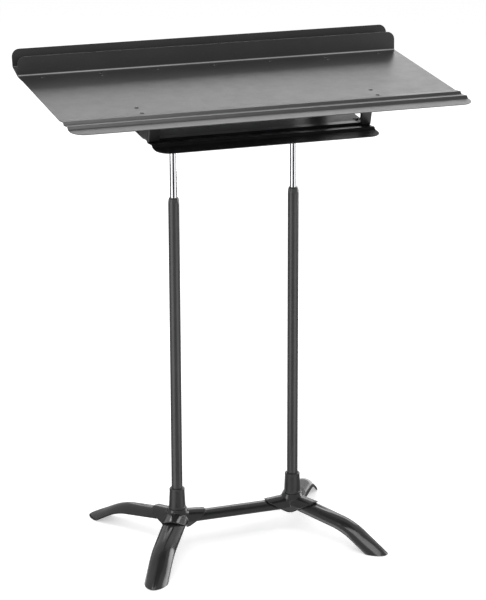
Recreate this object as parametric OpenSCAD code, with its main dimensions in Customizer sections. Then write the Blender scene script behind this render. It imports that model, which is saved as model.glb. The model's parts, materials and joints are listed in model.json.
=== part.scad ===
// Conductor's music stand: a wide desk with a double lip and a storage shelf
// below it, on two telescopic columns and a joined pair of pressed steel bases.
// X runs across the desk, Y from the ribbed edge to the lips, Z up.
// The origin is on the floor, under the middle of the whole stand.

/* [Desk] */
// Width of the desk, side to side
desk_w = 762; // [700:2:820]
// Depth of the desk, from the ribbed edge to the bend of the inner lip
desk_d = 373; // [350:1:400]
// Thickness of every folded sheet
sheet = 1.2; // [1:0.1:1.6]
// Height of the inner lip
lip_h = 35; // [28:1:42]
// Height of the outer lip above the desk surface
outer_lip_h = 38.5; // [32:0.5:45]
// Depth of the pencil tray between the lips
tray_d = 39; // [34:1:48]
// Height of the pressed ribs
rib_h = 4; // [2:0.5:5]
// Tilt of the desk as it stands, lip side up, in degrees
rest_tilt = 5.5; // [0:0.5:8]

/* [Shelf] */
// Width of the storage shelf
shelf_w = 430; // [400:2:460]
// Depth of the storage shelf
shelf_d = 335; // [300:1:335]
// Depth of the shelf surface below the desk surface
shelf_drop = 58; // [50:1:64]
// Height of the stop lip along the far side of the shelf
stop_h = 18; // [12:1:24]

/* [Columns] */
// Distance between the two column axes
column_gap = 240.6; // [230:0.2:260]
// Place of the column axes behind the middle of the stand
column_y = 19.5; // [10:0.5:30]
// Outside diameter of the lower, black tube
outer_tube_d = 21.5; // [20:0.5:24]
// Outside diameter of the upper, chrome tube
inner_tube_d = 14.3; // [13:0.1:15]
// Height of the top of the lower tube's collar
collar_top = 698.5; // [650:0.5:740]
// Height of the tilt axis as it stands
pivot_z = 835; // [825:1:880]
// Travel upwards from here that the inner tube keeps
lift_travel = 320; // [250:5:330]

/* [Base] */
// Reach of a leg from its column axis
leg_reach = 234.5; // [225:0.5:250]
// Width of a leg across its gutter
leg_w = 45; // [40:1:48]
// Radius of the bend in a leg
leg_bend = 150; // [145:5:160]
// Height of the top of the hubs' arms
hub_top = 71; // [70:0.5:76]

/* [Hidden] */

$fn = 64;
black = "#3b3b3c";
dark = "#2c2c2e";
plastic = "#343436";
chrome = "#d4d6d8";
steel = "#8d8f92";
big = 2000;
left = -column_gap / 2;
right = column_gap / 2;

// Legs and crossbar: gutter sections with an arched top
leg_sheet = 2;
leg_arch_r = 24.4;
leg_depth = 17;
leg_start = 20;
leg_top = hub_top - 3.4;
leg_slope = 8;
leg_bend_start = 120;
leg_end_slope = 29.5;
leg_rim = 1;
leg_nose = 9;
bar_half_w = 21;
bar_arch_r = 25.5;
bar_depth = 14;
bar_top = hub_top - 8.5;
glide_at = 211;
glide_d = 16;
glide_relief = 1.8;

// Hub
hub_reach = 57;
hub_wall = 2.5;
hub_fit = 0.4;
hub_arm_slope = 4;
hub_bar_slope = 5;
cup_low = 41;
cup_low_d = 58;
cup_high_d = 158;
boss_d = 32;
shoulder_low_d = 46;
shoulder_high_d = 38;
shoulder_h = 10;
ring_top = hub_top + 4;
plate_d = 51;
plate_top = 47;
plate_t = 3;

// Tubes
outer_wall = 1.5;
inner_wall = 1.2;
bore_d = outer_tube_d - 2 * outer_wall;
inner_bore_d = inner_tube_d - 2 * inner_wall;
run_gap = 0.05;
collar_h = 12;
clutch_h = 36;
clutch_gap = 10;
clutch_bottom = collar_top - collar_h - clutch_gap - clutch_h;
guide_h = 14;
inner_bottom = clutch_bottom - lift_travel - 20;
inner_top = pivot_z - 29;
plug_h = 22;

// Sleeves
sleeve_h = 41;
sleeve_low_d = 34.4;
sleeve_high_d = 29.4;

// Tilt joint
tongue_t = 6;
tongue_r = 12;
pin_d = 6;
ear_t = 3;
ear_in = tongue_t / 2 + 1;
ear_out = ear_in + ear_t;
clevis_t = 3;
pivot_below_shelf = 18;
pivot_at = 240.4;
pivot_drop = shelf_drop + sheet + pivot_below_shelf;

// Desk details
bend_r = 3;
lip_lean = 5;
corner_r = 25;
lip_corner_r = 15;
rib_step = 5.5;
rib_length = 27.5;
desk_rib_at = 33.5;
shelf_near = 32.8;
shelf_rib_at = shelf_near + 37.5;
shelf_rib_length = 30;
outer_flange = 44;
outer_base_rise = 6.5;
outer_lean = 9;

// Brackets and rivets
bracket_flange = 18;
strap_w = 20;
bracket_length = 57;
strap_lean = 9;
front_bracket_at = 86;
rear_bracket_at = shelf_near + shelf_d - 4 - bracket_length;
rivet_d = 4;
rivet_head_d = 8;
rivet_head_h = 1.2;
bracket_x = shelf_w / 2;
bracket_rivet_x = bracket_x + 12;
front_rivets = [front_bracket_at + 9, front_bracket_at + 42];
rear_rivets = [desk_d - 33, desk_d - 18];
lip_rivet_xs = [-339, -113, 0, 113, 339];
lip_rivet_t = desk_d - 18;
foot_rivet_x = bracket_x - 9;

// ---- Profiles -------------------------------------------------------------

// Unit normal on the left of the step from a to b
function normal(a, b) = let (d = b - a) [-d[1], d[0]] / norm(d);

// Offset direction at point i of a path, mitred between its two steps
function mitre(path, i) =
    let (last = len(path) - 1)
    i == 0 ? normal(path[0], path[1]) :
    i == last ? normal(path[last - 1], path[last]) :
    let (a = normal(path[i - 1], path[i]), b = normal(path[i], path[i + 1]))
    (a + b) / (1 + a * b);

// Closed outline of a sheet whose upper face follows the path
function sheet_outline(path, t) =
    concat(path, [for (i = [len(path) - 1 : -1 : 0]) path[i] - t * mitre(path, i)]);

// Points along an arc
function arc(centre, r, from, to, steps) =
    [for (i = [0 : steps]) let (a = from + (to - from) * i / steps)
        centre + r * [cos(a), sin(a)]];

// Two pressed ribs: each steps up sharply and runs back down
function ribs(at, length) = [
    [at, 0], [at + rib_step, rib_h], [at + length, 0],
    [at + length + rib_step, rib_h], [at + 2 * length, 0]
];

// A bend upwards that ends in a straight lip leaning outwards
function upturn(at, low, high, lean) =
    let (angle = atan2(lean, high - low))
    concat(arc([at - bend_r, low + bend_r], bend_r, -90, -angle, 6), [[at + lean, high]]);

// Rectangle with two rounded corners on its low-y side
module corners_low(w, d, r) {
    difference() {
        translate([-w / 2, 0]) square([w, d]);
        for (side = [-1, 1])
            translate([side * (w / 2 - r), r])
                difference() {
                    translate([side > 0 ? 0 : -r - 1, -r - 1]) square([r + 1, r + 1]);
                    circle(r = r);
                }
    }
}

// Sheet outline swept across the width w
module across(w, outline) {
    translate([-w / 2, 0, 0]) rotate([90, 0, 90]) linear_extrude(w) polygon(outline);
}

// Plan and upright masks that round a folded panel's corners
module rounded_panel(w, near, far, low, high) {
    intersection() {
        children();
        union() {
            translate([0, near, low - 20])
                linear_extrude(high - low + 40) corners_low(w, far - near, corner_r);
            translate([0, far + 60, high])
                rotate([90, 0, 0])
                    mirror([0, 1, 0])
                        linear_extrude(62.5) corners_low(w, high - low + 20, lip_corner_r);
        }
    }
}

// Gutter section: an arched top at y = 0 over two straight sides
module gutter(half_w, arch_r, depth) {
    intersection() {
        translate([0, -arch_r]) circle(r = arch_r);
        translate([-half_w, -depth]) square([2 * half_w, depth]);
    }
}

// ---- Places ---------------------------------------------------------------

module at_column(x) {
    translate([x, column_y, 0]) children();
}

// Desk coordinates: X across, Y from the ribbed edge, Z up from the surface
module on_desk() {
    translate([0, column_y, pivot_z])
        rotate([rest_tilt, 0, 0])
            translate([0, -pivot_at, pivot_drop]) children();
}

module at_pivot(x) {
    translate([x, column_y, pivot_z]) rotate([rest_tilt, 0, 0]) children();
}

// ---- Base -----------------------------------------------------------------

// The leg's path in its own upright plane, as [distance out, height, slope]
leg_run = (leg_bend_start - leg_start) / cos(leg_slope);
bend_low = leg_top - leg_run * sin(leg_slope);
function leg_place(slope) = [
    leg_bend_start + leg_bend * (sin(slope) - sin(leg_slope)),
    bend_low - leg_bend * (cos(leg_slope) - cos(slope)),
    slope
];
leg_steps = 10;
leg_places = concat(
    [[leg_start, leg_top, leg_slope]],
    [for (i = [0 : leg_steps])
        leg_place(leg_slope + (leg_end_slope - leg_slope) * i / leg_steps)]
);

// Point of the leg across the gutter at side y and depth d below the path
function leg_point(place, y, d) =
    [place[0] - d * sin(place[2]), y, place[1] - d * cos(place[2])];

// The same, at the end of the leg: on the rim above the floor, or on the rounded nose
function leg_end_point(y, d) =
    let (last = leg_places[leg_steps + 1])
    let (from = leg_point(last, y, d))
    let (to_rim = (from[2] - leg_rim) / sin(leg_end_slope))
    let (nose = leg_nose * pow(y / 15, 2))
    let (to_reach = (leg_reach - nose - from[0]) / cos(leg_end_slope))
    let (run = min(to_rim, to_reach))
    [from[0] + run * cos(leg_end_slope), y, from[2] - run * sin(leg_end_slope)];

// Gutter section as [side, depth] points, from one lower edge over the top to the other
function gutter_points(half_w, arch_r, top, depth, steps) =
    let (swing = asin(half_w / arch_r))
    concat(
        [[-half_w, depth]],
        [for (i = [0 : steps]) let (a = -swing + 2 * swing * i / steps)
            [arch_r * sin(a), top + arch_r * (1 - cos(a))]],
        [[half_w, depth]]
    );

module leg(x, angle) {
    outside = gutter_points(leg_w / 2, leg_arch_r, 0, leg_depth, 12);
    inside = gutter_points(
        leg_w / 2 - leg_sheet, leg_arch_r - leg_sheet, leg_sheet, leg_depth, 12
    );
    n = len(outside);
    rows = leg_steps + 3;
    loop = concat(outside, [for (i = [n - 1 : -1 : 0]) inside[i]]);
    points = concat(
        [for (place = leg_places, q = loop) leg_point(place, q[0], q[1])],
        [for (q = loop) leg_end_point(q[0], q[1])]
    );
    last = (rows - 1) * 2 * n;
    skin = [
        for (r = [0 : rows - 2], i = [0 : 2 * n - 1])
            let (j = (i + 1) % (2 * n), a = r * 2 * n, b = a + 2 * n)
            each [[a + i, b + i, b + j], [a + i, b + j, a + j]]
    ];
    caps = [
        for (i = [0 : n - 2])
            let (k = 2 * n - 1 - i)
            each [
                [i, i + 1, k - 1], [i, k - 1, k],
                [last + i, last + k - 1, last + i + 1], [last + i, last + k, last + k - 1]
            ]
    ];
    at_column(x) rotate([0, 0, angle]) polyhedron(points, concat(skin, caps), convexity = 6);
}

// Rubber pad inside the leg's end, cut to the slope of the sheet above it
module glide(x, angle) {
    under = bend_end_low() - (glide_at - bend_end_at()) * tan(leg_end_slope);
    at_column(x) rotate([0, 0, angle])
        difference() {
            translate([glide_at, 0, 0]) union() {
                cylinder(d1 = glide_d - 2, d2 = glide_d, h = 1);
                translate([0, 0, 1]) cylinder(d = glide_d, h = 40);
            }
            translate([glide_at, 0, under - leg_sheet / cos(leg_end_slope) - glide_relief])
                rotate([0, leg_end_slope, 0]) translate([-60, -60, 0]) cube([120, 120, 80]);
        }
}
function bend_end_at() = leg_places[leg_steps + 1][0];
function bend_end_low() = leg_places[leg_steps + 1][1];

// Outline of a gutter section as a polygon with an arched top at y = 0
module gutter_outline(half_w, arch_r, depth) {
    polygon([for (q = gutter_points(half_w, arch_r, 0, depth, 14)) [q[0], -q[1]]]);
}

// One socket of a hub: an arched top over two side skirts
module arm_solid(slope) {
    translate([0, 0, hub_top]) rotate([0, slope, 0]) rotate([90, 0, 90])
        linear_extrude(hub_reach)
            gutter_outline(leg_w / 2 + hub_wall, leg_arch_r + hub_wall, 45);
}

// The cup that the three sockets are trimmed to, so that their skirts rise to their ends
module hub_cup() {
    translate([0, 0, cup_low]) cylinder(d1 = cup_low_d, d2 = cup_high_d, h = hub_top + 10 - cup_low);
}

module leg_socket() {
    translate([leg_start, 0, leg_top + hub_fit]) rotate([0, leg_slope, 0])
        rotate([90, 0, 90]) linear_extrude(hub_reach)
            gutter_outline(leg_w / 2 + hub_fit, leg_arch_r + hub_fit, 60);
    translate([0, 0, leg_top + hub_fit]) rotate([90, 0, 90])
        linear_extrude(leg_start + 0.5)
            gutter_outline(leg_w / 2 + hub_fit, leg_arch_r + hub_fit, 60);
}

module bar_socket() {
    translate([0, 0, bar_top + hub_fit]) rotate([90, 0, 90])
        linear_extrude(hub_reach + 5)
            gutter_outline(bar_half_w + hub_fit, bar_arch_r + hub_fit, 60);
}

module hub(x, turn) {
    at_column(x) rotate([0, 0, turn])
        difference() {
            union() {
                difference() {
                    union() {
                        intersection() {
                            union() {
                                arm_solid(hub_bar_slope);
                                for (a = [-120, 120]) rotate([0, 0, a]) arm_solid(hub_arm_slope);
                            }
                            hub_cup();
                        }
                        translate([0, 0, ring_top - shoulder_h])
                            cylinder(d1 = shoulder_low_d, d2 = shoulder_high_d, h = shoulder_h);
                    }
                    bar_socket();
                    for (a = [-120, 120]) rotate([0, 0, a]) leg_socket();
                }
                translate([0, 0, plate_top]) cylinder(d = boss_d, h = ring_top - plate_top);
            }
            cylinder(d = outer_tube_d, h = big);
        }
}

module bar() {
    length = column_gap - 2 * leg_start;
    translate([-length / 2, column_y, bar_top]) rotate([90, 0, 90])
        linear_extrude(length)
            difference() {
                gutter(bar_half_w, bar_arch_r, bar_depth);
                translate([0, -leg_sheet])
                    gutter(bar_half_w - leg_sheet, bar_arch_r - leg_sheet, bar_depth);
            }
}

module clamp_plate(x) {
    at_column(x) translate([0, 0, plate_top - plate_t])
        difference() {
            cylinder(d = plate_d, h = plate_t);
            translate([0, 0, -1]) cylinder(d = 8.4, h = plate_t + 2);
        }
}

// Plug in the foot of the outer tube, threaded for the column bolt
module tube_plug(x) {
    at_column(x) translate([0, 0, plate_top])
        difference() {
            cylinder(d = bore_d, h = plug_h);
            translate([0, 0, -1]) cylinder(d = 8, h = plug_h - 3);
        }
}

module hexagon(across_flats, h) {
    cylinder(d = across_flats / cos(30), h = h, $fn = 6);
}

module column_bolt(x) {
    washer_low = plate_top - plate_t - 1.6;
    at_column(x) {
        translate([0, 0, washer_low - 5.5]) hexagon(13, 5.5);
        translate([0, 0, washer_low - 0.5]) cylinder(d = 8, h = plug_h);
    }
}

module column_washer(x) {
    at_column(x) translate([0, 0, plate_top - plate_t - 1.6])
        difference() {
            cylinder(d = 20, h = 1.6);
            translate([0, 0, -1]) cylinder(d = 8.4, h = 4);
        }
}

// ---- Columns --------------------------------------------------------------

module sleeve(x) {
    at_column(x) translate([0, 0, ring_top])
        rotate_extrude()
            polygon([
                [outer_tube_d / 2, 0], [sleeve_low_d / 2, 0],
                [sleeve_high_d / 2, sleeve_h - 4], [sleeve_high_d / 2 - 0.2, sleeve_h - 1],
                [sleeve_high_d / 2 - 1.4, sleeve_h], [outer_tube_d / 2, sleeve_h]
            ]);
}

module outer_tube(x) {
    at_column(x) translate([0, 0, plate_top])
        difference() {
            cylinder(d = outer_tube_d, h = collar_top - collar_h - plate_top);
            translate([0, 0, -1]) cylinder(d = bore_d, h = big);
        }
}

module collar(x) {
    hole_r = inner_tube_d / 2 + 0.3;
    low = collar_top - collar_h;
    at_column(x) translate([0, 0, low])
        rotate_extrude()
            polygon([
                [hole_r, -8], [bore_d / 2, -8], [bore_d / 2, 0], [outer_tube_d / 2, 0],
                [outer_tube_d / 2, 2.5], [outer_tube_d / 2 - 0.5, 5],
                [hole_r + 1.2, collar_h - 1], [hole_r + 0.6, collar_h], [hole_r, collar_h]
            ]);
}

// Slotted spring bush that grips the inner tube
module clutch(x) {
    at_column(x) translate([0, 0, clutch_bottom])
        difference() {
            cylinder(d = bore_d, h = clutch_h);
            translate([0, 0, -1]) cylinder(d = inner_tube_d + 2 * run_gap, h = clutch_h + 2);
            for (a = [0, 120, 240])
                rotate([0, 0, a]) translate([0, -1, clutch_h / 3]) cube([bore_d, 2, clutch_h]);
        }
}

module inner_tube(x) {
    at_column(x) translate([0, 0, inner_bottom])
        difference() {
            cylinder(d = inner_tube_d, h = inner_top - inner_bottom);
            translate([0, 0, -1]) cylinder(d = inner_bore_d, h = big);
        }
}

module guide_bush(x) {
    at_column(x) translate([0, 0, inner_bottom]) {
        translate([0, 0, -guide_h]) cylinder(d = bore_d - 2 * run_gap, h = guide_h);
        cylinder(d = inner_bore_d, h = 12);
    }
}

// Plug at the top of the inner tube with the flat tongue of the tilt joint
module neck(x) {
    at_column(x) difference() {
        union() {
            translate([0, 0, inner_top - 20]) cylinder(d = inner_bore_d, h = 20);
            translate([0, 0, inner_top]) cylinder(d = 17, h = 8);
            translate([0, 0, inner_top + 8]) cylinder(d1 = 17, d2 = 13, h = 2);
            translate([-tongue_t / 2, -tongue_r, inner_top + 6])
                cube([tongue_t, 2 * tongue_r, pivot_z - inner_top - 6]);
            translate([-tongue_t / 2, 0, pivot_z]) rotate([0, 90, 0])
                cylinder(r = tongue_r, h = tongue_t);
        }
        translate([-big / 2, 0, pivot_z]) rotate([0, 90, 0])
            cylinder(d = pin_d + 2 * run_gap, h = big);
    }
}

// ---- Tilt joint -----------------------------------------------------------

clevis_rivets_at = [[-16, -18], [16, -18], [-16, 18], [16, 18]];

module clevis(x) {
    at_pivot(x) difference() {
        union() {
            translate([-22, -25, pivot_below_shelf - clevis_t]) cube([44, 50, clevis_t]);
            for (side = [-1, 1]) {
                translate([side > 0 ? ear_in : -ear_out, -tongue_r, 0])
                    cube([ear_t, 2 * tongue_r, pivot_below_shelf - clevis_t]);
                translate([side > 0 ? ear_in : -ear_out, 0, 0]) rotate([0, 90, 0])
                    cylinder(r = tongue_r, h = ear_t);
            }
        }
        translate([-50, 0, 0]) rotate([0, 90, 0]) cylinder(d = pin_d + 0.4, h = 100);
        for (p = clevis_rivets_at)
            translate([p[0], p[1], 0]) cylinder(d = rivet_d, h = 100);
    }
}

module pivot_bolt(x) {
    at_pivot(x) rotate([0, 90, 0]) {
        translate([0, 0, ear_out]) hexagon(10, 4);
        translate([0, 0, -ear_out - 6]) cylinder(d = pin_d, h = 2 * ear_out + 7);
    }
}

module pivot_nut(x) {
    at_pivot(x) rotate([0, -90, 0]) translate([0, 0, ear_out])
        difference() {
            union() {
                hexagon(10, 4.5);
                translate([0, 0, 4.5]) cylinder(d = 8.6, h = 1);
            }
            translate([0, 0, -1]) cylinder(d = pin_d, h = 10);
        }
}

module friction_washer_pair(x) {
    at_pivot(x) for (side = [-1, 1])
        rotate([0, side * 90, 0]) translate([0, 0, tongue_t / 2 + run_gap])
            difference() {
                cylinder(d = 20, h = ear_in - tongue_t / 2 - run_gap);
                translate([0, 0, -1]) cylinder(d = pin_d + 0.4, h = 4);
            }
}

// ---- Desk -----------------------------------------------------------------

// Holes for rivets at given [x, y] places, through every sheet there
module rivet_holes(places) {
    for (p = places) translate([p[0], p[1], -500]) cylinder(d = rivet_d, h = big);
}

// A rivet with a head on each face; top and low are the outer faces it grips
module rivet(place, top, low) {
    translate([place[0], place[1], 0]) {
        translate([0, 0, top])
            cylinder(d1 = rivet_head_d, d2 = rivet_head_d - 3, h = rivet_head_h);
        translate([0, 0, low]) cylinder(d = rivet_d, h = top - low);
        translate([0, 0, low - rivet_head_h])
            cylinder(d1 = rivet_head_d - 3, d2 = rivet_head_d, h = rivet_head_h);
    }
}

lip_places = [for (x = lip_rivet_xs) [x, lip_rivet_t]];
front_places = [for (s = [-1, 1], t = front_rivets) [s * bracket_rivet_x, t]];
rear_places = [for (s = [-1, 1], t = rear_rivets) [s * bracket_rivet_x, t]];
foot_rivet_ts = [front_bracket_at + 50.5, rear_bracket_at + 9, rear_bracket_at + 37];
shelf_places = [for (s = [-1, 1], t = foot_rivet_ts) [s * foot_rivet_x, t]];
clevis_places = [for (x = [left, right], p = clevis_rivets_at) [x + p[0], pivot_at + p[1]]];

module panel() {
    path = concat(
        [[0, 0]], ribs(desk_rib_at, rib_length), upturn(desk_d, 0, lip_h, lip_lean)
    );
    on_desk() difference() {
        rounded_panel(desk_w, 0, desk_d - 1, 0, lip_h)
            across(desk_w, sheet_outline(path, sheet));
        rivet_holes(concat(lip_places, front_places, rear_places));
    }
}

module second_lip() {
    under = -sheet;
    tray_end = desk_d + tray_d;
    path = concat(
        [[desk_d - outer_flange, under], [desk_d + 2, under]],
        upturn(tray_end, outer_base_rise, outer_lip_h, outer_lean)
    );
    on_desk() difference() {
        rounded_panel(desk_w, desk_d - outer_flange, desk_d + tray_d - 1, 0, outer_lip_h)
            across(desk_w, sheet_outline(path, sheet));
        rivet_holes(concat(lip_places, rear_places));
    }
}

module shelf() {
    far = shelf_near + shelf_d;
    path = concat(
        [[shelf_near, 0]], ribs(shelf_rib_at, shelf_rib_length),
        upturn(far, 0, stop_h, 0)
    );
    on_desk() difference() {
        translate([0, 0, -shelf_drop])
            rounded_panel(shelf_w, shelf_near, far - 1, 0, stop_h)
                across(shelf_w, sheet_outline(path, sheet));
        rivet_holes(concat(shelf_places, clevis_places));
    }
}

// Height of the shelf's ribs at a place t along it
function rib_rise(t) =
    let (run = t - shelf_rib_at)
    let (along = run - shelf_rib_length * floor(run / shelf_rib_length))
    run <= 0 || run >= 2 * shelf_rib_length ? 0 :
    along < rib_step ? rib_h * along / rib_step :
    rib_h * (shelf_rib_length - along) / (shelf_rib_length - rib_step);

// The shelf's surface between two places, raised by lift
function shelf_line(near, far, lift) = [
    for (p = concat(
        [[near, rib_rise(near)]],
        [for (q = ribs(shelf_rib_at, shelf_rib_length)) if (q[0] > near && q[0] < far) q],
        [[far, rib_rise(far)]]
    )) [p[0], p[1] + lift - shelf_drop]
];

function reverse(list) = [for (i = [len(list) - 1 : -1 : 0]) list[i]];

// Folded bracket: web, leaning strap, foot on the shelf, top flange under the desk.
// edge is the strap's place under the desk; facing -1 has the strap on the far side.
module bracket(side, edge, facing, top) {
    far = edge + facing * bracket_length;
    foot = edge + facing * strap_lean;
    inner = foot + facing * sheet;
    near_end = min(foot, far);
    far_end = max(foot, far);
    on_desk() difference() {
        mirror([side > 0 ? 0 : 1, 0, 0]) {
            translate([bracket_x - sheet, 0, 0])
                upright(sheet, concat(
                    shelf_line(near_end, far_end, 0),
                    facing > 0 ? [[far, top], [edge, top]] : [[edge, top], [far, top]]
                ));
            translate([bracket_x - strap_w, 0, 0])
                upright(strap_w, [
                    [edge, top], [edge + facing * sheet, top],
                    [inner, rib_rise(inner) - shelf_drop], [foot, rib_rise(foot) - shelf_drop]
                ]);
            translate([bracket_x - bracket_flange, 0, 0])
                upright(bracket_flange, concat(
                    shelf_line(near_end, far_end, 0),
                    reverse(shelf_line(near_end, far_end, sheet))
                ));
            translate([bracket_x - sheet, min(edge, far), top - sheet])
                cube([bracket_flange + 7, bracket_length, sheet]);
        }
        rivet_holes(concat(front_places, rear_places, shelf_places));
    }
}

// Outline in the upright Y-Z plane, with thickness t along X
module upright(t, outline) {
    rotate([90, 0, 90]) linear_extrude(t) polygon(outline);
}

module front_bracket(side) {
    bracket(side, front_bracket_at, 1, -sheet);
}

module rear_bracket(side) {
    bracket(side, rear_bracket_at + bracket_length, -1, -2 * sheet);
}

// ---- Nodes ----------------------------------------------------------------

module left_hub() { color(black) hub(left, 0); }
module right_hub() { color(black) hub(right, 180); }
module left_rear_leg() { color(black) leg(left, 120); }
module left_front_leg() { color(black) leg(left, 240); }
module right_front_leg() { color(black) leg(right, -60); }
module right_rear_leg() { color(black) leg(right, 60); }
module crossbar() { color(black) bar(); }
module left_clamp_plate() { color(steel) clamp_plate(left); }
module right_clamp_plate() { color(steel) clamp_plate(right); }
module column_bolts() { color(steel) for (x = [left, right]) column_bolt(x); }
module column_washers() { color(steel) for (x = [left, right]) column_washer(x); }
module foot_glides() {
    color(plastic) {
        for (a = [120, 240]) glide(left, a);
        for (a = [-60, 60]) glide(right, a);
    }
}
module left_sleeve() { color(plastic) sleeve(left); }
module right_sleeve() { color(plastic) sleeve(right); }
module left_outer_tube() { color(black) outer_tube(left); }
module right_outer_tube() { color(black) outer_tube(right); }
module left_tube_plug() { color(steel) tube_plug(left); }
module right_tube_plug() { color(steel) tube_plug(right); }
module left_collar() { color(dark) collar(left); }
module right_collar() { color(dark) collar(right); }
module left_clutch() { color(plastic) clutch(left); }
module right_clutch() { color(plastic) clutch(right); }
module left_inner_tube() { color(chrome) inner_tube(left); }
module right_inner_tube() { color(chrome) inner_tube(right); }
module left_guide_bush() { color(plastic) guide_bush(left); }
module right_guide_bush() { color(plastic) guide_bush(right); }
module left_neck() { color(steel) neck(left); }
module right_neck() { color(steel) neck(right); }
module left_clevis() { color(black) clevis(left); }
module right_clevis() { color(black) clevis(right); }
module pivot_bolts() { color(steel) for (x = [left, right]) pivot_bolt(x); }
module pivot_nuts() { color(steel) for (x = [left, right]) pivot_nut(x); }
module friction_washers() {
    color(plastic) for (x = [left, right]) friction_washer_pair(x);
}
module desk_panel() { color(black) panel(); }
module outer_lip() { color(black) second_lip(); }
module storage_shelf() { color(dark) shelf(); }
module left_front_bracket() { color(dark) front_bracket(-1); }
module right_front_bracket() { color(dark) front_bracket(1); }
module left_rear_bracket() { color(dark) rear_bracket(-1); }
module right_rear_bracket() { color(dark) rear_bracket(1); }
module lip_rivets() {
    color(dark) on_desk() for (p = lip_places) rivet(p, 0, -2 * sheet);
}
module bracket_rivets() {
    color(dark) on_desk() {
        for (p = front_places) rivet(p, 0, -2 * sheet);
        for (p = rear_places) rivet(p, 0, -3 * sheet);
    }
}
module shelf_rivets() {
    color(dark) on_desk() for (p = shelf_places)
        rivet(p, sheet - shelf_drop, -sheet - shelf_drop);
}
module clevis_rivets() {
    color(dark) on_desk() for (p = clevis_places)
        rivet(p, -shelf_drop, -sheet - clevis_t - shelf_drop);
}

left_hub();
right_hub();
left_rear_leg();
left_front_leg();
right_front_leg();
right_rear_leg();
crossbar();
left_clamp_plate();
right_clamp_plate();
column_bolts();
column_washers();
foot_glides();
left_sleeve();
right_sleeve();
left_outer_tube();
right_outer_tube();
left_tube_plug();
right_tube_plug();
left_collar();
right_collar();
left_clutch();
right_clutch();
left_inner_tube();
right_inner_tube();
left_guide_bush();
right_guide_bush();
left_neck();
right_neck();
left_clevis();
right_clevis();
pivot_bolts();
pivot_nuts();
friction_washers();
desk_panel();
outer_lip();
storage_shelf();
left_front_bracket();
right_front_bracket();
left_rear_bracket();
right_rear_bracket();
lip_rivets();
bracket_rivets();
shelf_rivets();
clevis_rivets();
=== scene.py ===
"""Looks of the double-column music stand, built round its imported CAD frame."""

import json
import math

import bmesh
import bpy
import numpy as np
from mathutils import Matrix, Vector


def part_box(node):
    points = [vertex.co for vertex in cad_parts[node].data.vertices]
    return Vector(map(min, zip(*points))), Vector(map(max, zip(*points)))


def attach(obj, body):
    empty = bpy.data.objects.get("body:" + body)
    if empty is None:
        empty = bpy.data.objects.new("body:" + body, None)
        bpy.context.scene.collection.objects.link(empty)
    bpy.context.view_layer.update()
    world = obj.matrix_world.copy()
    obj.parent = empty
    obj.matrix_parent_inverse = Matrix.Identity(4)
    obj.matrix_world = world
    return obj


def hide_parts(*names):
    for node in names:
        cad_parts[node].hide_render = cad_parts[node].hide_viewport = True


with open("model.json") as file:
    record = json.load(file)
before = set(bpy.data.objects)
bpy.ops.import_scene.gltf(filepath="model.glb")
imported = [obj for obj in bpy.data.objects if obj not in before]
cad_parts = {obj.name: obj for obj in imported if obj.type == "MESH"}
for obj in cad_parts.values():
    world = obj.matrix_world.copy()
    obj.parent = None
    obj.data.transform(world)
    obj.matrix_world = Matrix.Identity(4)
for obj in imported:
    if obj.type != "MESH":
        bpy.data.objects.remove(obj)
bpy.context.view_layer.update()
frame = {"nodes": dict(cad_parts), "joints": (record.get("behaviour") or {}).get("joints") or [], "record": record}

nodes = frame["nodes"]
joints = {joint["name"]: joint for joint in frame["joints"]}
record = frame["record"]
mounts = {mount["name"]: mount for mount in record["mounts"]}
body_of = {n: b for b, members in record["behaviour"]["bodies"].items() for n in members}
slot_of = {part["node"]: part["material_slot"] for part in record["subparts"]}

# ---- Frames and measures ----------------------------------------------------

def widest_normal(node):
    """The upward normal that the largest flat area of a CAD node faces."""
    areas = {}
    for face in nodes[node].data.polygons:
        if face.normal.z > 0.5:
            key = tuple(round(c, 3) for c in face.normal)
            total, along = areas.get(key, (0.0, Vector()))
            areas[key] = (total + face.area, along + face.normal * face.area)
    return max(areas.values(), key=lambda found: found[0])[1].normalized()


# The desk's own axes: X across, T from the ribbed edge to the lips, N off the surface
N = widest_normal("desk_panel")
X = Vector((1, 0, 0))
T = N.cross(X)
SHEET = 0.0012
panel_low, panel_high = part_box("desk_panel")
ORIGIN = Vector((0, panel_low.y, panel_low.z + SHEET * N.z))
COLUMNS = {"left": 0.0, "right": 0.0}
for side in COLUMNS:
    tube_low, tube_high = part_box(side + "_outer_tube")
    COLUMNS[side] = (tube_low.x + tube_high.x) / 2
COLUMN_Y = (tube_low.y + tube_high.y) / 2


def on_desk(x, t, n):
    return ORIGIN + X * x + T * t + N * n


def cad_points(node):
    return np.array([v.co for v in nodes[node].data.vertices], float).reshape(-1, 3)


def desk_span(node):
    """Lowest and highest [x, t, n] of a CAD node in the desk's axes."""
    axes = np.array([X, T, N]).T
    local = (cad_points(node) - np.array(ORIGIN)) @ axes
    return local.min(0), local.max(0)


# Where the desk bends up into the inner lip
BEND_AT = desk_span("desk_panel")[1][1] - SHEET - 0.005


def islands(node):
    """The separate solids of a CAD node, each as an array of points."""
    mesh = bmesh.new()
    mesh.from_mesh(nodes[node].data)
    bmesh.ops.remove_doubles(mesh, verts=mesh.verts, dist=1e-6)
    mesh.verts.ensure_lookup_table()
    left, found = set(range(len(mesh.verts))), []
    while left:
        stack, group = [left.pop()], []
        while stack:
            i = stack.pop()
            group.append(list(mesh.verts[i].co))
            for edge in mesh.verts[i].link_edges:
                j = edge.other_vert(mesh.verts[i]).index
                if j in left:
                    left.remove(j)
                    stack.append(j)
        found.append(np.array(group))
    mesh.free()
    return found


# ---- Materials --------------------------------------------------------------


def links(tree, *pairs):
    for a, b in pairs:
        tree.links.new(a, b)


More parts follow.
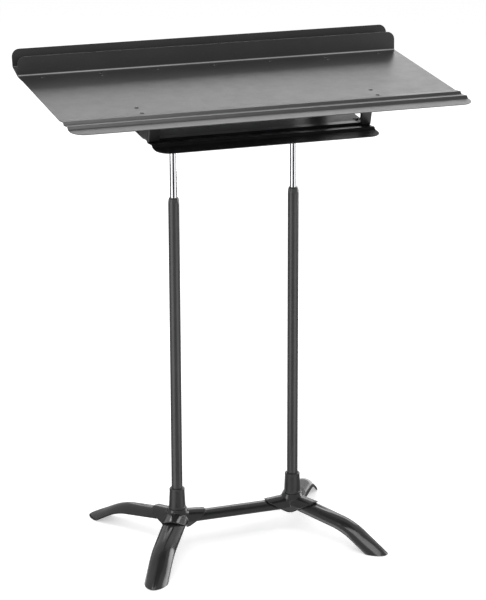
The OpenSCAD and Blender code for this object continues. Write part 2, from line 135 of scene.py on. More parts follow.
def new_material(name):
    material = bpy.data.materials.new(name)
    material.use_nodes = True
    tree = material.node_tree
    shader = tree.nodes["Principled BSDF"]
    place = tree.nodes.new("ShaderNodeTexCoord")
    return material, tree, shader, place


def noise(tree, place, scale, detail=2.0, rough=0.5, stretch=None):
    node = tree.nodes.new("ShaderNodeTexNoise")
    node.inputs["Scale"].default_value = scale
    node.inputs["Detail"].default_value = detail
    node.inputs["Roughness"].default_value = rough
    source = place.outputs["Object"]
    if stretch:
        mapping = tree.nodes.new("ShaderNodeMapping")
        mapping.inputs["Scale"].default_value = stretch
        tree.links.new(source, mapping.inputs["Vector"])
        source = mapping.outputs["Vector"]
    tree.links.new(source, node.inputs["Vector"])
    return node.outputs["Fac"]


def spread(tree, source, low, high, to_low, to_high):
    node = tree.nodes.new("ShaderNodeMapRange")
    node.inputs["From Min"].default_value = low
    node.inputs["From Max"].default_value = high
    node.inputs["To Min"].default_value = to_low
    node.inputs["To Max"].default_value = to_high
    tree.links.new(source, node.inputs["Value"])
    return node.outputs["Result"]


def tint(tree, source, dark, light):
    node = tree.nodes.new("ShaderNodeMix")
    node.data_type = "RGBA"
    node.inputs["A"].default_value = (*dark, 1)
    node.inputs["B"].default_value = (*light, 1)
    tree.links.new(source, node.inputs["Factor"])
    return node.outputs["Result"]


def bumps(tree, shader, *layers):
    """Stacks bump layers of (height, strength, distance) into the shader's normal."""
    before = None
    for height, strength, distance in layers:
        node = tree.nodes.new("ShaderNodeBump")
        node.inputs["Strength"].default_value = strength
        node.inputs["Distance"].default_value = distance
        tree.links.new(height, node.inputs["Height"])
        if before:
            tree.links.new(before, node.inputs["Normal"])
        before = node.outputs["Normal"]
    tree.links.new(before, shader.inputs["Normal"])


def painted_bend_highlight(tree, place):
    """A painted highlight: a thin uneven bright line painted along the inner lip's foot, where the bend catches
    the light.
    """
    along = tree.nodes.new("ShaderNodeVectorMath")
    along.operation = "DOT_PRODUCT"
    along.inputs[1].default_value = T
    off = tree.nodes.new("ShaderNodeMath")
    off.operation = "SUBTRACT"
    off.inputs[1].default_value = BEND_AT - 0.0012 + ORIGIN.dot(T)
    size = tree.nodes.new("ShaderNodeMath")
    size.operation = "ABSOLUTE"
    links(
        tree,
        (place.outputs["Object"], along.inputs[0]),
        (along.outputs["Value"], off.inputs[0]),
        (off.outputs["Value"], size.inputs[0]),
    )
    return spread(tree, size.outputs["Value"], 0.0009, 0.0015, 1, 0)


def powder_coat(name, dark, light, rough, peel=0.06, wave=0.02, scuffs=0.03, bend_highlight=False):
    """Black powder coat: orange peel, slow waves in the sheet, faint dust and scuffs, and optionally a painted
    highlight line along the inner lip's bend.
    """
    material, tree, shader, place = new_material(name)
    cloud = noise(tree, place, 9, 5, 0.6)
    dust = noise(tree, place, 140, 3, 0.65)
    scuff = noise(tree, place, 45, 4, 0.7)
    shade = tint(tree, spread(tree, cloud, 0.3, 0.7, 0, 1), dark, light)
    specks = tree.nodes.new("ShaderNodeMix")
    specks.data_type = "RGBA"
    specks.inputs["B"].default_value = (0.11, 0.11, 0.108, 1)
    paint = specks.outputs["Result"]
    if bend_highlight:
        # Painted highlight: a light grey line mixed into the paint colour along the bend, standing in for the
        # light it catches.
        highlight_mix = tree.nodes.new("ShaderNodeMix")
        highlight_mix.data_type = "RGBA"
        highlight_mix.inputs["B"].default_value = (0.30, 0.30, 0.295, 1)
        share = tree.nodes.new("ShaderNodeMath")
        share.operation = "MULTIPLY"
        links(
            tree,
            (painted_bend_highlight(tree, place), share.inputs[0]),
            (spread(tree, cloud, 0.2, 0.6, 0.45, 1), share.inputs[1]),
            (share.outputs["Value"], highlight_mix.inputs["Factor"]),
            (paint, highlight_mix.inputs["A"]),
        )
        paint = highlight_mix.outputs["Result"]
    links(
        tree,
        (shade, specks.inputs["A"]),
        (spread(tree, dust, 0.66, 0.82, 0, 0.35), specks.inputs["Factor"]),
        (paint, shader.inputs["Base Color"]),
        (spread(tree, scuff, 0.3, 0.75, rough - scuffs, rough + scuffs),
         shader.inputs["Roughness"]),
    )
    shader.inputs["IOR"].default_value = 1.5
    bumps(
        tree, shader,
        (noise(tree, place, 7, 1), wave, 0.01),
        (noise(tree, place, 850, 1), peel, 0.0004),
    )
    return material


def moulded_plastic(name, dark, light, rough):
    material, tree, shader, place = new_material(name)
    cloud = noise(tree, place, 25, 3)
    links(
        tree,
        (tint(tree, cloud, dark, light), shader.inputs["Base Color"]),
        (spread(tree, noise(tree, place, 60, 4), 0.3, 0.7, rough - 0.05, rough + 0.06),
         shader.inputs["Roughness"]),
    )
    bumps(tree, shader, (noise(tree, place, 1400, 2), 0.12, 0.0003))
    return material


def rubber(name):
    material, tree, shader, place = new_material(name)
    links(
        tree,
        (tint(tree, noise(tree, place, 80, 4), (0.012, 0.012, 0.012),
              (0.03, 0.03, 0.029)), shader.inputs["Base Color"]),
        (spread(tree, noise(tree, place, 200, 2), 0.3, 0.7, 0.6, 0.8),
         shader.inputs["Roughness"]),
    )
    bumps(tree, shader, (noise(tree, place, 900, 3), 0.3, 0.0005))
    return material


def metal(name, dark, light, rough, streak, grain=0.03):
    """Bare or plated metal with fine streaks along the part."""
    material, tree, shader, place = new_material(name)
    lines = noise(tree, place, 420, 3, 0.6, streak)
    links(
        tree,
        (tint(tree, noise(tree, place, 30, 4), dark, light), shader.inputs["Base Color"]),
        (spread(tree, lines, 0.3, 0.7, rough * 0.7, rough * 1.3), shader.inputs["Roughness"]),
    )
    shader.inputs["Metallic"].default_value = 1.0
    bumps(tree, shader, (lines, grain, 0.0002))
    return material


MATERIALS = {
    # The desk's paint carries the painted highlight along the inner lip's bend.
    "desk_paint": powder_coat(
        "desk_powder_coat", (0.020, 0.020, 0.021), (0.027, 0.027, 0.028), 0.34, 0.05, 0.03,
        bend_highlight=True
    ),
    "base_paint": powder_coat(
        "base_powder_coat", (0.016, 0.016, 0.017), (0.021, 0.021, 0.022), 0.17, 0.02, 0.01, 0.012
    ),
    "tube_paint": powder_coat(
        "tube_powder_coat", (0.040, 0.040, 0.041), (0.048, 0.048, 0.049), 0.25, 0.03, 0.0, 0.015
    ),
    "rivet_paint": powder_coat(
        "rivet_enamel", (0.015, 0.015, 0.016), (0.022, 0.022, 0.023), 0.25, 0.04, 0.0
    ),
    "sleeve_plastic": moulded_plastic(
        "sleeve_plastic", (0.020, 0.020, 0.021), (0.028, 0.028, 0.030), 0.36
    ),
    "bush_plastic": moulded_plastic(
        "bush_plastic", (0.05, 0.05, 0.05), (0.07, 0.07, 0.07), 0.5
    ),
    "glide_rubber": rubber("glide_rubber"),
    "chrome": metal(
        "chrome", (0.80, 0.81, 0.83), (0.88, 0.88, 0.90), 0.09, (1, 1, 0.02), 0.008
    ),
    "steel": metal("zinc_steel", (0.48, 0.48, 0.49), (0.62, 0.62, 0.61), 0.3, (1, 1, 1)),
}

# ---- Mesh helpers -----------------------------------------------------------


def settle(obj):
    """Replaces an object's mesh by the result of its modifiers."""
    shape = obj.evaluated_get(bpy.context.evaluated_depsgraph_get())
    mesh = bpy.data.meshes.new_from_object(shape)
    old = obj.data
    obj.modifiers.clear()
    obj.data = mesh
    bpy.data.meshes.remove(old)


def piece(name, mesh, node, sharp=38.0, stands_for=None):
    """A shown piece that rides with a CAD node's body and stands for that node."""
    obj = bpy.data.objects.new(name, mesh)
    bpy.context.scene.collection.objects.link(obj)
    obj.data.polygons.foreach_set("use_smooth", [True] * len(obj.data.polygons))
    obj.data.set_sharp_from_angle(angle=math.radians(sharp))
    flat = obj.modifiers.new("flat", "WEIGHTED_NORMAL")
    flat.keep_sharp = True
    settle(obj)
    obj.data.materials.clear()
    obj.data.materials.append(MATERIALS[slot_of[node]])
    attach(obj, body_of[node])
    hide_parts(*(stands_for or [node]))
    return obj


def worked(name, mesh, modifiers):
    """A mesh after a list of (type, settings) modifiers."""
    obj = bpy.data.objects.new(name + "_work", mesh)
    bpy.context.scene.collection.objects.link(obj)
    for kind, settings in modifiers:
        modifier = obj.modifiers.new(kind.lower(), kind)
        for key, value in settings.items():
            setattr(modifier, key, value)
    settle(obj)
    made = obj.data
    bpy.data.objects.remove(obj)
    made.name = name
    return made


def from_bmesh(name, mesh, weld=1e-6):
    bmesh.ops.remove_doubles(mesh, verts=mesh.verts, dist=weld)
    bmesh.ops.dissolve_degenerate(mesh, edges=mesh.edges, dist=weld)
    made = bpy.data.meshes.new(name)
    mesh.to_mesh(made)
    mesh.free()
    return made


def grid_into(mesh, rows, skip=None):
    """Adds a grid of quads through rows of points; skip(i, j) leaves a cell out."""
    made = [[mesh.verts.new(p) for p in row] for row in rows]
    for i in range(len(rows) - 1):
        for j in range(len(rows[i]) - 1):
            if skip and skip(i, j):
                continue
            mesh.faces.new((made[i][j], made[i][j + 1], made[i + 1][j + 1], made[i + 1][j]))
    loose = [v for row in made for v in row if not v.link_faces]
    bmesh.ops.delete(mesh, geom=loose, context="VERTS")
    return made


def bevelled(name, mesh, width, angle=40.0, segments=2, thickness=None):
    steps = []
    if thickness:
        steps.append(("SOLIDIFY", {
            "thickness": thickness, "offset": -1.0, "use_even_offset": True,
        }))
    steps.append(("BEVEL", {
        "width": width, "segments": segments, "limit_method": "ANGLE",
        "angle_limit": math.radians(angle), "use_clamp_overlap": True,
        "miter_outer": "MITER_ARC",
    }))
    return worked(name, mesh, steps)


def fine_copy(node, width, angle=32.0, segments=2):
    """The CAD node's own shape with its coplanar facets joined and its edges rounded."""
    mesh = bmesh.new()
    mesh.from_mesh(nodes[node].data)
    bmesh.ops.remove_doubles(mesh, verts=mesh.verts, dist=1e-6)
    bmesh.ops.dissolve_limit(
        mesh, angle_limit=math.radians(1.0), verts=mesh.verts, edges=mesh.edges
    )
    bmesh.ops.recalc_face_normals(mesh, faces=mesh.faces)
    made = bpy.data.meshes.new(node + "_copy")
    mesh.to_mesh(made)
    mesh.free()
    return bevelled(node + "_mesh", made, width, angle, segments)


def rounded_path(points, radii, turn_step=9.0):
    """A polyline with an arc of the given radius at each inner corner."""
    points = [Vector(p) for p in points]
    path = [points[0]]
    for i in range(1, len(points) - 1):
        back = (points[i - 1] - points[i]).normalized()
        ahead = (points[i + 1] - points[i]).normalized()
        turn = math.pi - math.acos(max(-1.0, min(1.0, back.dot(ahead))))
        radius = radii[i - 1]
        if radius <= 0 or turn < 0.01:
            path.append(points[i])
            continue
        reach = radius * math.tan(turn / 2)
        start, end = points[i] + back * reach, points[i] + ahead * reach
        middle = (back + ahead).normalized()
        centre = points[i] + middle * (radius / math.cos(turn / 2))
        a, b = start - centre, end - centre
        steps = max(2, int(math.degrees(turn) / turn_step) + 1)
        for k in range(steps + 1):
            share = k / steps
            part = a * math.sin((1 - share) * turn) + b * math.sin(share * turn)
            path.append(centre + part / math.sin(turn))
    path.append(points[-1])
    return path


def lengths(path):
    total = [0.0]
    for a, b in zip(path, path[1:]):
        total.append(total[-1] + (b - a).length)
    return total


def with_stops(path, stops):
    """The same polyline with extra points at the given distances along it."""
    total = lengths(path)
    marks = sorted(set(total) | {s for s in stops if 0 < s < total[-1]})
    made = []
    for mark in marks:
        i = max(k for k in range(len(total)) if total[k] <= mark + 1e-12)
        if i == len(path) - 1 or abs(total[i] - mark) < 1e-9:
            made.append(path[i])
        else:
            share = (mark - total[i]) / (total[i + 1] - total[i])
            made.append(path[i].lerp(path[i + 1], share))
    return made


def corner_stops(radius, steps=9):
    return [radius * (1 - math.cos(math.pi / 2 * k / steps)) for k in range(1, steps + 1)]


def corner_inset(distance, radius):
    if distance >= radius:
        return 0.0
    return radius - math.sqrt(max(0.0, radius ** 2 - (radius - distance) ** 2))


def folded_sheet(name, half_width, profile, radii, near_radius, far_radius, columns=40):
    """A folded sheet across the desk; its profile is [t, n] points, its ends' corners round."""
    path = rounded_path(profile, radii)
    whole = lengths(path)[-1]
    near, far = corner_stops(near_radius), corner_stops(far_radius)
    straight = [whole * k / 24 for k in range(1, 24)]
    path = with_stops(path, near + [whole - s for s in far] + straight)
    rows = []
    for place, run in zip(path, lengths(path)):
        width = half_width - corner_inset(run, near_radius)
        width = min(width, half_width - corner_inset(whole - run, far_radius))
        rows.append([
            on_desk(width * (2 * j / columns - 1), place[0], place[1])
            for j in range(columns + 1)
        ])
    mesh = bmesh.new()
    grid_into(mesh, rows)
    return bevelled(name, from_bmesh(name, mesh), 0.00028, 50.0, 2, SHEET)


def lathe_into(mesh, profile, centre, up=(0, 0, 1), segments=64, flute=None):
    """Turns a closed [radius, height] profile about the axis through centre."""
    up = Vector(up).normalized()
    side = up.orthogonal().normalized()
    other = up.cross(side)
    centre = Vector(centre)
    rings = []
    for radius, height in profile:
        ring = []
        for k in range(segments):
            angle = 2 * math.pi * k / segments
            out = radius + (flute(height, angle) if flute and radius > 0 else 0.0)
            ring.append(mesh.verts.new(
                centre + up * height + (side * math.cos(angle) + other * math.sin(angle)) * out
            ))
        rings.append(ring)
    count = len(rings)
    for i in range(count):
        a, b = rings[i], rings[(i + 1) % count]
        if profile[i][0] == 0 and profile[(i + 1) % count][0] == 0:
            continue
        for k in range(segments):
            n = (k + 1) % segments
            mesh.faces.new((a[k], a[n], b[n], b[k]))


def lathe(name, profile, centre, up=(0, 0, 1), segments=64, flute=None):
    mesh = bmesh.new()
    lathe_into(mesh, profile, centre, up, segments, flute)
    bmesh.ops.remove_doubles(mesh, verts=mesh.verts, dist=1e-7)
    bmesh.ops.recalc_face_normals(mesh, faces=mesh.faces)
    return from_bmesh(name, mesh, 1e-7)


def smooth_profile(points, radii):
    """A closed [radius, height] loop whose listed corners are rounded."""
    loop = [*points, points[0]]
    path = rounded_path([(p[0], p[1]) for p in loop], [*radii, 0][: len(loop) - 2], 20.0)
    return [(p[0], p[1]) for p in path[:-1]]


# ---- Desk, lips and shelf ---------------------------------------------------

RIB_RISE = 0.004
RIB_STEP = 0.0055
BEND = 0.003


def ribs(at, length, base=0.0):
    """Two pressed ribs that step up sharply and run back down, as [t, n] points."""
    made = []
    for k in range(2):
        made += [(at + k * length, base), (at + k * length + RIB_STEP, base + RIB_RISE)]
    return made + [(at + 2 * length, base)]


def build_desk():
    low, high = desk_span("desk_panel")
    profile = [(0, 0), *ribs(0.0335, 0.0275), (BEND_AT, 0), (BEND_AT + 0.005, high[2])]
    radii = [0.0012, 0.001, 0.0012, 0.001, 0.002, BEND]
    mesh = folded_sheet("desk_panel_mesh", high[0], profile, radii, 0.025, 0.015, 60)
    piece("desk_sheet", mesh, "desk_panel")

    low, high = desk_span("outer_lip")
    lip_end = high[1] - SHEET
    tray_end = lip_end - 0.009
    rise = 0.0065
    profile = [
        (low[1], -SHEET), (BEND_AT + 0.002, -SHEET), (tray_end - BEND, rise - 0.0004),
        (tray_end, rise), (lip_end, high[2]),
    ]
    mesh = folded_sheet(
        "outer_lip_mesh", high[0], profile, [0.006, 0.0, BEND], 0.025, 0.015, 60
    )
    piece("outer_lip_sheet", mesh, "outer_lip")

    low, high = desk_span("storage_shelf")
    top = high[2] - 0.018
    profile = [
        (low[1], top), *ribs(low[1] + 0.0375, 0.030, top), (high[1] - SHEET, top),
        (high[1] - SHEET, high[2]),
    ]
    mesh = folded_sheet("storage_shelf_mesh", high[0], profile, radii, 0.025, 0.015, 40)
    piece("storage_shelf_sheet", mesh, "storage_shelf")


SHELF_LOW, SHELF_HIGH = desk_span("storage_shelf")


def shelf_rise(t):
    """Height of the storage shelf's ribs at a place t."""
    run = t - SHELF_LOW[1] - 0.0375
    if not 0 < run < 0.060:
        return 0.0
    along = run % 0.030
    if along < RIB_STEP:
        return RIB_RISE * along / RIB_STEP
    return RIB_RISE * (0.030 - along) / (0.030 - RIB_STEP)


def build_bracket(node):
    """Folded bracket: a web, a strap that leans, a foot and a top flange with soft bends."""
    low, high = desk_span(node)
    side = 1 if low[0] > 0 else -1
    facing = 1 if "front" in node else -1
    outer = max(abs(low[0]), abs(high[0])) - 0.0238
    start, end = (low[1], high[1]) if facing > 0 else (high[1], low[1])
    lean, strap, flange, top_flange, soft = 0.009, 0.020, 0.018, 0.0238, 0.0024
    bottom, top = SHELF_HIGH[2] - 0.018, high[2] - SHEET
    fold = rounded_path(
        [(-flange, bottom), (0, bottom), (0, top), (top_flange, top)], [soft, 0.0016]
    )
    first_web = next(i for i, p in enumerate(fold) if abs(p[0]) < 1e-7)
    last_web = max(i for i, p in enumerate(fold) if abs(p[0]) < 1e-7)
    whole = lengths(fold)
    stops = [whole[first_web] + (whole[last_web] - whole[first_web]) * k / 10
             for k in range(11)]
    fold = with_stops(fold, stops)
    corner = rounded_path([(strap, 0), (0, 0), (0, 1)], [soft])
    turn_end = len(corner) - 2
    plan = corner[:-1] + [Vector((0, soft + (0.999 - soft) * k / 24)) for k in range(1, 25)]
    rows, kinds = [], []
    for point in fold:
        height = min(max(point[1], bottom), top)
        share = (top - height) / (top - bottom)
        edge = start + facing * lean * share
        span = abs(end - edge)
        in_web = abs(point[0]) < 1e-7
        row = []
        for j, q in enumerate(plan):
            along = q[1] if j <= turn_end else soft + (span - soft) * (q[1] - soft) / (
                0.999 - soft
            )
            inward = q[0]
            out = outer - inward + (0 if in_web else point[0])
            place = edge + facing * along
            row.append(on_desk(side * out, place, point[1] + shelf_rise(place) * share))
        rows.append(row)
        kinds.append(in_web)
    mesh = bmesh.new()
    grid_into(
        mesh, rows,
        skip=lambda i, j: j < turn_end and not (kinds[i] and kinds[i + 1]),
    )
    if side * facing > 0:
        bmesh.ops.reverse_faces(mesh, faces=mesh.faces)
    made = bevelled(node + "_mesh", from_bmesh(node, mesh), 0.00028, 50.0, 2, SHEET)
    piece(node + "_sheet", made, node)


def build_rivets(node, segments=24):
    """Domed heads on both faces of the sheets that each rivet holds."""
    mesh = bmesh.new()
    for points in islands(node):
        local = (points - np.array(ORIGIN)) @ np.array([X, T, N]).T
        low, high = local.min(0), local.max(0)
        radius, depth = (high[0] - low[0]) / 2, high[2] - low[2]
        centre = on_desk((low[0] + high[0]) / 2, (low[1] + high[1]) / 2, low[2])
        head = 0.0012
        dome = [(radius * math.cos(a), head * math.sin(a))
                for a in [math.pi / 2 * k / 6 for k in range(7)]]
        profile = [(0, 0)] + [(r, head - h) for r, h in reversed(dome[:-1])]
        profile += [(radius, head), (radius / 2, head), (radius / 2, depth - head)]
        profile += [(r, depth - head + h) for r, h in dome[:-1]] + [(0, depth)]
        lathe_into(mesh, profile, centre, N, segments)
    bmesh.ops.remove_doubles(mesh, verts=mesh.verts, dist=1e-7)
    bmesh.ops.recalc_face_normals(mesh, faces=mesh.faces)
    piece(node + "_domed", from_bmesh(node + "_mesh", mesh, 1e-7), node)


# ---- Columns ----------------------------------------------------------------


def column_centre(side, z=0.0):
    return Vector((COLUMNS[side], COLUMN_Y, z))


def tube_profile(inner, outer, low, high, edge=0.0004):
    loop = [(inner, low), (outer, low), (outer, high), (inner, high)]
    return smooth_profile(loop, [edge, edge, edge])


def build_columns():
    for side in COLUMNS:
        centre = column_centre(side)
        low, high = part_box(side + "_outer_tube")
        radius = (high.x - low.x) / 2
        profile = tube_profile(radius - 0.0015, radius, low.z, high.z, 0.0001)
        piece(side + "_lower_tube", lathe(side + "_lower_tube", profile, centre),
              side + "_outer_tube")

        low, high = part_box(side + "_inner_tube")
        radius = (high.x - low.x) / 2
        profile = tube_profile(radius - 0.0012, radius, low.z, high.z)
        piece(side + "_chrome_tube", lathe(side + "_chrome_tube", profile, centre),
              side + "_inner_tube")
        build_collar(side, radius)
        build_sleeve(side)


def build_collar(side, tube_radius):
    """The closed-in end of the lower tube, pinched in small flutes."""
    node = side + "_collar"
    low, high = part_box(node)
    outer = (high.x - low.x) / 2
    hole = tube_radius + 0.0003
    base, top = high.z - 0.012, high.z
    profile = [(hole, low.z), (outer - 0.0016, low.z), (outer - 0.0016, base - 0.0002),
               (outer, base)]
    shape = rounded_path(
        [(outer, base), (outer, base + 0.0028), (hole + 0.0022, top - 0.0028),
         (hole + 0.0008, top), (hole, top)],
        [0.0022, 0.0012, 0.0005], 8.0,
    )
    shape = with_stops(shape, [lengths(shape)[-1] * k / 18 for k in range(1, 18)])
    profile += [(p[0], p[1]) for p in shape[1:]]

    def flute(height, angle):
        share = (height - base - 0.0015) / (top - base - 0.0025)
        if not 0 < share < 1:
            return 0.0
        return -0.00055 * math.sin(math.pi * share) * max(0.0, math.cos(8 * angle)) ** 3

    piece(side + "_collar_end",
          lathe(node + "_mesh", profile, column_centre(side), segments=128, flute=flute),
          node, 50.0)


def build_sleeve(side):
    """Tapered plastic sleeve: a bead at the foot, a long taper and a rolled top rim."""
    node = side + "_sleeve"
    low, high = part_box(node)
    hole = (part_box(side + "_outer_tube")[1].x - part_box(side + "_outer_tube")[0].x) / 2
    foot = (high.x - low.x) / 2
    top = foot - 0.0022
    z, height = low.z, high.z - low.z
    loop = [
        (hole, z), (foot, z), (foot, z + 0.0024), (foot - 0.0009, z + 0.0034),
        (top - 0.0003, z + height - 0.0052), (top - 0.0001, z + height - 0.0044),
        (top - 0.0001, z + height - 0.0012), (top - 0.0014, z + height),
        (hole + 0.0006, z + height), (hole, z + height - 0.0006),
    ]
    radii = [0.0004, 0.0008, 0.0006, 0.0012, 0.0004, 0.0008, 0.0006, 0.0003, 0.0003]
    profile = smooth_profile(loop, radii)
    piece(side + "_moulded_sleeve",
          lathe(node + "_mesh", profile, column_centre(side), segments=96), node, 50.0)


# ---- Base -------------------------------------------------------------------

LEG_START = 0.020
LEG_BEND_AT = 0.120
LEG_BEND = 0.150
LEG_SLOPE = math.radians(8)
LEG_END_SLOPE = math.radians(29.5)
LEG_ARCH = 0.0244
LEG_DEPTH = 0.017
LEG_SHEET = 0.002
LEG_RIM = 0.001
LEG_NOSE = 0.009


def gutter_section(half_width, arch, top, depth, steps):
    """[side, depth] points of a gutter from one lower edge over the arch to the other."""
    swing = math.asin(half_width / arch)
    made = [(-half_width, depth)]
    shoulder = arch * (1 - math.cos(swing)) + top
    made += [(-half_width, depth + (shoulder - depth) * k / 3) for k in range(1, 3)]
    for k in range(steps + 1):
        a = -swing + 2 * swing * k / steps
        made.append((arch * math.sin(a), top + arch * (1 - math.cos(a))))
    made += [(half_width, shoulder + (depth - shoulder) * k / 3) for k in range(1, 4)]
    return made


def fade(value, low, high):
    share = min(1.0, max(0.0, (value - low) / (high - low)))
    return share * share * (3 - 2 * share)


def leg_press(out, side):
    """Depth pressed into a leg's top: a valley near the hub, a wedge towards the floor."""
    valley = 0.0016 * math.exp(-((side / 0.0042) ** 2)) * (1 - fade(out, 0.060, 0.118))
    reach = fade(out, 0.165, 0.225)
    wedge = 0.0022 * reach * math.exp(-((side / (0.003 + 0.009 * reach)) ** 2))
    return valley - wedge


def build_leg(node, foot_mount):
    side = "left" if node.startswith("left") else "right"
    centre = column_centre(side)
    foot = Vector(mounts[foot_mount]["pos_m"])
    out_axis = Vector((foot.x - centre.x, foot.y - centre.y, 0)).normalized()
    side_axis = Vector((0, 0, 1)).cross(out_axis)
    points = cad_points(node) - np.array(centre)
    reach = float((points @ np.array(out_axis)).max())
    half_width = float((points @ np.array(side_axis)).max())
    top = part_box(node)[1].z
    run = (LEG_BEND_AT - LEG_START) / math.cos(LEG_SLOPE)
    bend_z = top - run * math.sin(LEG_SLOPE)

    def place(slope):
        return (
            LEG_BEND_AT + LEG_BEND * (math.sin(slope) - math.sin(LEG_SLOPE)),
            bend_z - LEG_BEND * (math.cos(LEG_SLOPE) - math.cos(slope)),
        )

    arm = [(LEG_START + (LEG_BEND_AT - LEG_START) * k / 22,
            top + (bend_z - top) * k / 22, LEG_SLOPE) for k in range(22)]
    turn = [(*place(LEG_SLOPE + (LEG_END_SLOPE - LEG_SLOPE) * k / 18),
             LEG_SLOPE + (LEG_END_SLOPE - LEG_SLOPE) * k / 18) for k in range(19)]
    section = gutter_section(half_width, LEG_ARCH, 0.0, LEG_DEPTH, 36)

    def layer():
        rows = []
        for out, z, slope in arm + turn:
            row = []
            for across, depth in section:
                press = leg_press(out, across) if depth < LEG_DEPTH - 0.001 else 0.0
                deep = depth + press
                row.append((out - deep * math.sin(slope), across, z - deep * math.cos(slope)))
            rows.append(row)
        last_out, last_z, slope = turn[-1]
        for k in range(1, 15):
            row = []
            for across, depth in section:
                start_out = last_out - depth * math.sin(slope)
                start_z = last_z - depth * math.cos(slope)
                nose = LEG_NOSE * (across / 0.015) ** 2
                rest = min((start_z - LEG_RIM) / math.sin(slope),
                           (reach - nose - start_out) / math.cos(slope)) * k / 14
                out = start_out + rest * math.cos(slope)
                z = start_z - rest * math.sin(slope)
                press = leg_press(out, across) if depth < LEG_DEPTH - 0.001 else 0.0
                row.append((out - press * math.sin(slope), across, z - press * math.cos(slope)))
            rows.append(row)
        return rows

    rows = [[centre + out_axis * o + side_axis * s + Vector((0, 0, z)) for o, s, z in row]
            for row in layer()]
    mesh = bmesh.new()
    grid_into(mesh, rows)
    bmesh.ops.recalc_face_normals(mesh, faces=mesh.faces)
    top_face = max(mesh.faces, key=lambda f: f.calc_center_median().z)
    if top_face.normal.z < 0:
        bmesh.ops.reverse_faces(mesh, faces=mesh.faces)
    made = bevelled(node + "_mesh", from_bmesh(node, mesh), 0.0004, 60.0, 2, LEG_SHEET)
    keep_inside(made, node, reach, centre, out_axis)
    piece(node + "_pressed", made, node, 45.0)


def keep_inside(mesh, node, reach, centre, out_axis):
    """Holds a leg's points above the rim height, within its reach and its box."""
    low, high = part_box(node)
    for vert in mesh.vertices:
        beyond = (vert.co - centre).dot(out_axis) - reach
        if beyond > 0:
            vert.co -= out_axis * beyond
        vert.co.x = min(max(vert.co.x, low.x), high.x)
        vert.co.y = min(max(vert.co.y, low.y), high.y)
        vert.co.z = max(vert.co.z, LEG_RIM)


def build_crossbar():
    low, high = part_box("crossbar")
    half_width = (high.y - low.y) / 2
    depth = high.z - low.z
    section = gutter_section(half_width, 0.0255, 0.0, depth, 36)
    mesh = bmesh.new()
    steps = 40
    rows = []
    for k in range(steps + 1):
        x = low.x + (high.x - low.x) * k / steps
        rows.append([Vector((x, (low.y + high.y) / 2 - side, high.z - deep))
                     for side, deep in section])
    grid_into(mesh, rows)
    made = bevelled("crossbar_mesh", from_bmesh("crossbar", mesh), 0.0004, 60.0, 2, LEG_SHEET)
    piece("crossbar_pressed", made, "crossbar", 45.0)


def build_hub(node):
    """The hub's CAD shape with its ribs and shoulders rounded as pressed steel."""
    mesh = nodes[node].data.copy()
    made = worked(node + "_mesh", mesh, [
        ("REMESH", {"mode": "VOXEL", "voxel_size": 0.0008, "adaptivity": 0.0}),
        ("SMOOTH", {"factor": 0.5, "iterations": 9}),
        ("DECIMATE", {"decimate_type": "COLLAPSE", "ratio": 0.3}),
    ])
    piece(node + "_pressed", made, node, 60.0)


# ---- Everything on the object ----------------------------------------------

build_desk()
for node in sorted(n for n in nodes if n.endswith("_bracket")):
    build_bracket(node)
for node in ("lip_rivets", "bracket_rivets", "shelf_rivets", "clevis_rivets"):
    build_rivets(node)
build_columns()
FEET = {
    "left_rear_leg": "left_rear_foot", "left_front_leg": "left_front_foot",
    "right_front_leg": "right_front_foot", "right_rear_leg": "right_rear_foot",
}
for node, mount in FEET.items():
    build_leg(node, mount)
build_crossbar()
for side in COLUMNS:
    build_hub(side + "_hub")
    for part, width in (("neck", 0.0006), ("clevis", 0.0006), ("clamp_plate", 0.0004),
                        ("tube_plug", 0.0003), ("clutch", 0.0003), ("guide_bush", 0.0003)):
        piece(f"{side}_{part}_fine", fine_copy(f"{side}_{part}", width), f"{side}_{part}")
for part, width in (("pivot_bolts", 0.0004), ("pivot_nuts", 0.0004),
                    ("friction_washers", 0.0002), ("column_bolts", 0.0004),
                    ("column_washers", 0.0003), ("foot_glides", 0.0006)):
    piece(part + "_fine", fine_copy(part, width), part)

# ---- Stage ------------------------------------------------------------------


def stage_material(name, colour, strength=0.0):
    material, tree, shader, place = new_material(name)
    grain = noise(tree, place, 3, 4)
    dark = tuple(c * 0.985 for c in colour)
    links(tree, (tint(tree, grain, dark, colour), shader.inputs["Base Color"]))
    shader.inputs["Roughness"].default_value = 0.9
    shader.inputs["Specular IOR Level"].default_value = 0.0
    if strength:
        shader.inputs["Emission Color"].default_value = (*colour, 1)
        shader.inputs["Emission Strength"].default_value = strength
    return material


def stage_plate(name, corners, material):
    mesh = bpy.data.meshes.new(name)
    mesh.from_pydata([tuple(c) for c in corners], [], [(0, 1, 2, 3)])
    mesh.materials.append(material)
    obj = bpy.data.objects.new(name, mesh)
    bpy.context.scene.collection.objects.link(obj)
    return obj


floor = stage_plate(
    "floor", [(-40, -40, 0), (40, -40, 0), (40, 40, 0), (-40, 40, 0)],
    stage_material("floor_paper", (0.90, 0.90, 0.90), 0.50),
)


def light(name, place, aim, width, height, power):
    data = bpy.data.lights.new(name, "AREA")
    data.shape = "RECTANGLE"
    data.size, data.size_y = width, height
    data.energy = power
    obj = bpy.data.objects.new(name, data)
    bpy.context.scene.collection.objects.link(obj)
    obj.location = place
    obj.rotation_euler = (Vector(aim) - Vector(place)).to_track_quat("-Z", "Y").to_euler()
    obj.visible_camera = False


world = bpy.data.worlds.new("studio")
world.use_nodes = True
bpy.context.scene.world = world
world.node_tree.nodes["Background"].inputs["Color"].default_value = (1, 1, 1, 1)
world.node_tree.nodes["Background"].inputs["Strength"].default_value = 0.58

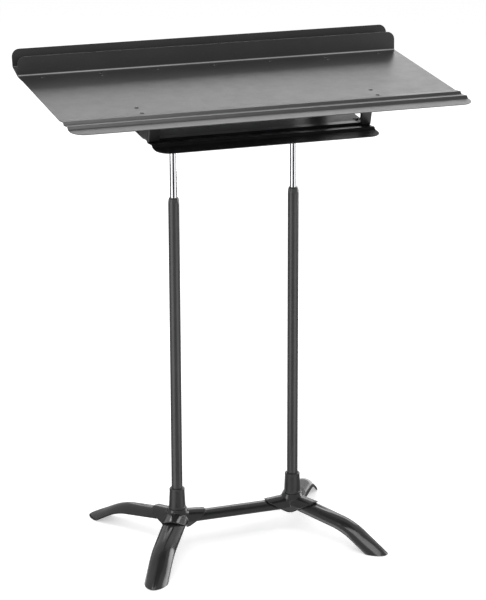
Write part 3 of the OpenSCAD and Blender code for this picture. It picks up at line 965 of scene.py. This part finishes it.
light("back_softbox", (2.2, 4.4, 2.45), (0, 0, 0.9), 3.8, 1.6, 42)
light("top_softbox", (-0.6, -0.4, 3.6), (0, 0, 0.4), 2.4, 2.4, 60)
light("right_softbox", (2.6, 0.4, 0.95), (0, 0, 0.6), 1.4, 1.8, 40)
light("left_softbox", (-2.8, -0.5, 0.9), (0, 0, 0.6), 1.2, 1.6, 18)


def glossy_only(obj):
    """Lets only reflections see a stage object."""
    for ray in ("camera", "diffuse", "transmission", "volume_scatter", "shadow"):
        setattr(obj, "visible_" + ray, False)


def felt_patch(name, shade, rows):
    """A dark card that only reflections see, through rows of points."""
    mesh = bmesh.new()
    grid_into(mesh, rows)
    made = bpy.data.meshes.new(name)
    mesh.to_mesh(made)
    mesh.free()
    made.materials.append(stage_material(name + "_felt", shade))
    obj = bpy.data.objects.new(name, made)
    bpy.context.scene.collection.objects.link(obj)
    glossy_only(obj)
    return obj


def around(centre, radius, angle, z):
    """A point round centre; the angle runs from -Y towards -X, in degrees."""
    a = math.radians(angle)
    return (centre.x - radius * math.sin(a), centre.y - radius * math.cos(a), z)


VIEW_SIDE = 20.0
middle = Vector((0, COLUMN_Y, 0))
for side in COLUMNS:
    felt_patch(side + "_front_strip", (0.015, 0.015, 0.015), [
        [around(column_centre(side), r, VIEW_SIDE - 24 + 8 * k, 0.004) for k in range(7)]
        for r in (0.26, 4.1)
    ])
for name, start in (("left_sweep", 76), ("right_sweep", 212)):
    felt_patch(name, (0.13, 0.13, 0.13), [
        [around(middle, r, VIEW_SIDE + start + 8 * k, 0.004) for k in range(10)]
        for r in (0.05, 4.5)
    ])
flag = felt_patch("shelf_flag", (0.02, 0.02, 0.02), [
    [(-0.5, 0.235, z), (0.22, 0.235, z)] for z in (0.78, 0.945)
])
flag.visible_shadow = True

# ---- Camera -----------------------------------------------------------------

camera_data = bpy.data.cameras.new("camera")
camera_data.sensor_fit = "AUTO"
camera_data.sensor_width = 36.0
camera_data.lens = 136.1
camera = bpy.data.objects.new("camera", camera_data)
bpy.context.scene.collection.objects.link(camera)
yaw, pitch, roll = math.radians(20.0), math.radians(16.74), math.radians(-0.16)
ahead = Vector((math.sin(yaw) * math.cos(pitch), math.cos(yaw) * math.cos(pitch),
                -math.sin(pitch)))
turned = ahead.to_track_quat("-Z", "Y").to_matrix() @ Matrix.Rotation(roll, 3, "Z")
camera.matrix_world = Matrix.Translation((-1.4105, -3.9038, 1.7387)) @ turned.to_4x4()
camera_data.clip_start, camera_data.clip_end = 0.05, 120
bpy.context.scene.camera = camera

bpy.context.scene.view_settings.view_transform = "Standard"
bpy.context.scene.view_settings.look = "None"
